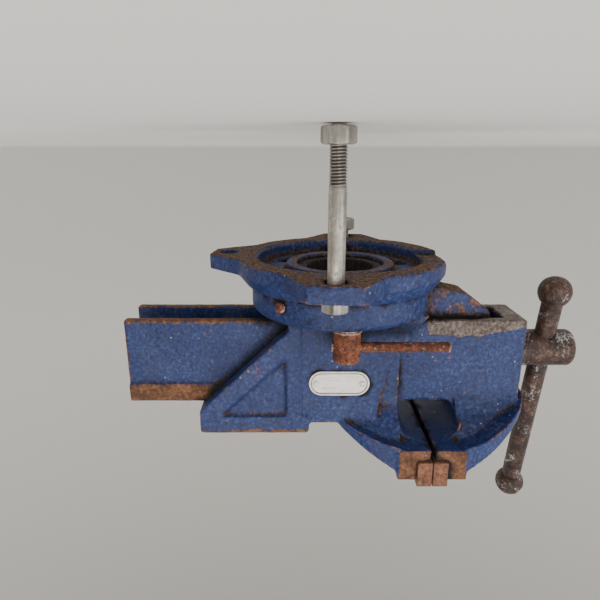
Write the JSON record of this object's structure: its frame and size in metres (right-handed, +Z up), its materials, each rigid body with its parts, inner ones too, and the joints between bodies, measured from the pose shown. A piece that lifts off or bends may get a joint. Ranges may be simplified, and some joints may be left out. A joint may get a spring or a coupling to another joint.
{
  "type": "swivel bench vise",
  "caption": "Cast bench vise with an anvil, sliding front jaw, screw with a cross handle, jaw inserts, and a lugged base that swivels and locks.",
  "frame": {"origin": "centre of the base's flat underside, on the swivel axis", "axes": "+Z up from the bench, -Y towards the handle and the sliding jaw, +X towards the side with the nameplate"},
  "size_m": [0.1782, 0.31, 0.2853],
  "materials": {
    "cast_paint": "worn textured blue enamel on cast iron",
    "rusted_steel": "rusted bare steel",
    "dark_steel": "brown oxidised steel with bright worn spots",
    "plate_aluminium": "dull blank stamped plate",
    "zinc_plate": "weathered zinc plating"
  },
  "bodies": {
    "base": {"base": "cast_paint", "base_web": "cast_paint", "bench_bolt_right": "zinc_plate", "bench_bolt_left": "zinc_plate", "bench_nut_right": "zinc_plate", "bench_nut_left": "zinc_plate"},
    "body": {"body": "cast_paint", "pivot_hub": "cast_paint", "fixed_jaw_insert": "rusted_steel", "fixed_insert_screws": "dark_steel", "spindle_nut": "dark_steel", "spindle_nut_screws": "dark_steel", "lock_bolt_right": "dark_steel", "lock_bolt_left": "dark_steel", "lock_washer_right": "dark_steel", "lock_washer_left": "dark_steel", "nameplate": "plate_aluminium", "nameplate_rivets": "plate_aluminium", "retaining_screw": "rusted_steel"},
    "moving_jaw": {"moving_jaw": "cast_paint", "moving_jaw_insert": "rusted_steel", "moving_insert_screws": "dark_steel", "thrust_washer": "dark_steel"},
    "spindle": {"screw_spindle": "dark_steel", "spindle_collar": "dark_steel", "collar_pin": "dark_steel"},
    "handle": {"handle_bar": "dark_steel", "handle_ball_top": "dark_steel", "handle_ball_bottom": "dark_steel"},
    "lock_right": {"lock_nut_right": "rusted_steel", "lock_bar_right": "rusted_steel"},
    "lock_left": {"lock_nut_left": "rusted_steel", "lock_bar_left": "rusted_steel"}
  },
  "joints": [
    {"name": "swivel", "type": "hinge", "parent": "base", "child": "body", "pos_m": [0, 0, 0.018], "axis": [0, 0, 1], "range_deg": [-54, 66]},
    {"name": "jaw_slide", "type": "slide", "parent": "body", "child": "moving_jaw", "axis": [0, -1, 0], "range_m": [0, 0.09]},
    {"name": "screw_turn", "type": "hinge", "parent": "moving_jaw", "child": "spindle", "pos_m": [0, -0.146, 0.068], "axis": [0, -1, 0], "range_deg": [0, 6481]},
    {"name": "handle_slide", "type": "slide", "parent": "spindle", "child": "handle", "axis": [-0.1616, 0, 0.9869], "range_m": [-0.102, 0.017]},
    {"name": "right_lock_turn", "type": "hinge", "parent": "body", "child": "lock_right", "pos_m": [0.047, -0.0016, 0.05], "axis": [0, 0, 1], "range_deg": [0, 160]},
    {"name": "left_lock_turn", "type": "hinge", "parent": "body", "child": "lock_left", "pos_m": [-0.047, -0.0016, 0.05], "axis": [0, 0, 1], "range_deg": [0, 160]}
  ],
  "couplings": [
    {"joint": "screw_turn", "follows": "jaw_slide", "rad_per_m": 1256.6}
  ]
}
